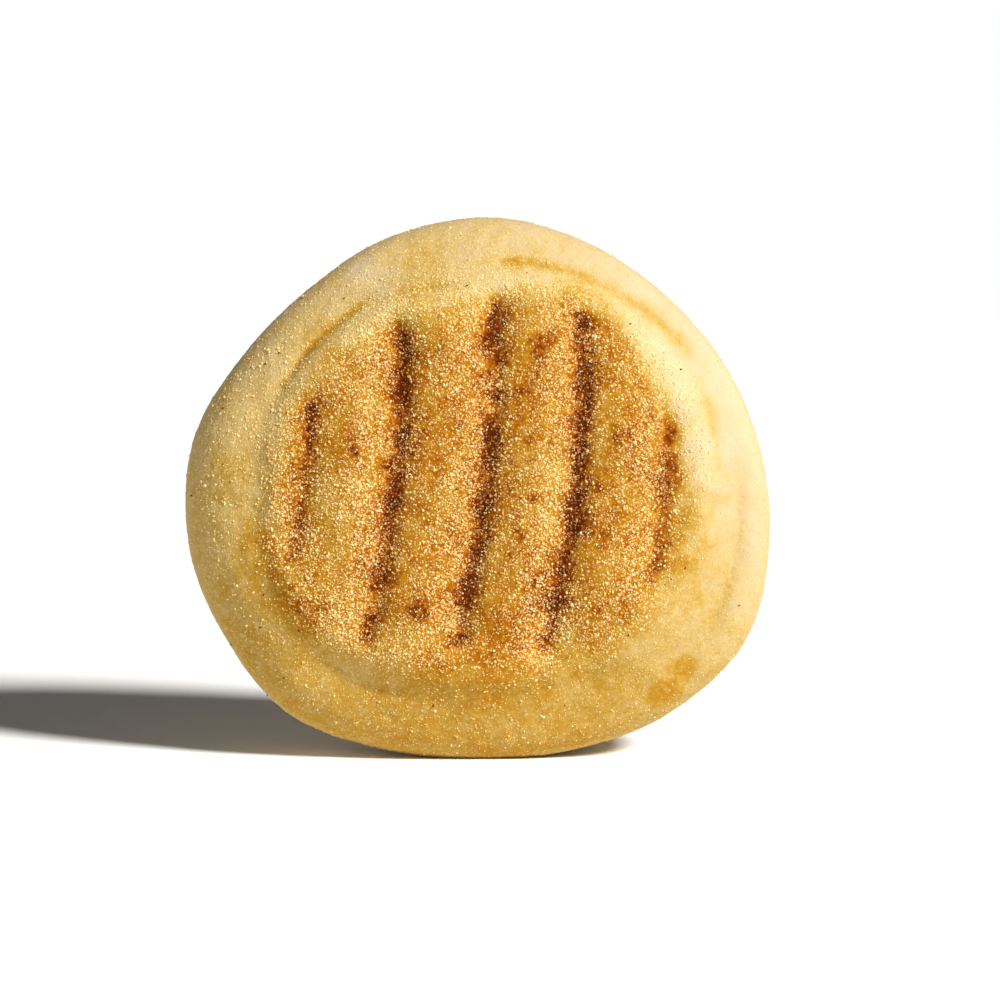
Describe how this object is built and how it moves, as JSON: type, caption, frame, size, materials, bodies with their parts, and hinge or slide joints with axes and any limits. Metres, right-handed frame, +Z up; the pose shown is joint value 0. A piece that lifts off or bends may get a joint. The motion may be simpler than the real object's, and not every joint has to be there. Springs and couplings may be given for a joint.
{
  "type": "english muffin",
  "caption": "Round griddled bread with toasted bar marks, pressed faces and a semolina-dusted crust, standing on its edge.",
  "frame": {"origin": "on the floor under the middle of the muffin, which stands on a small flat of its rim", "axes": "+X to the right of the face with the griddle marks, +Y from that front face to the back face, +Z up"},
  "size_m": [0.096, 0.0319, 0.0884],
  "materials": {
    "crust": "matt floury baked crust, golden tan with dark brown griddle marks, cream at the rim"
  },
  "bodies": {
    "root": {"muffin": "crust"}
  },
  "joints": []
}
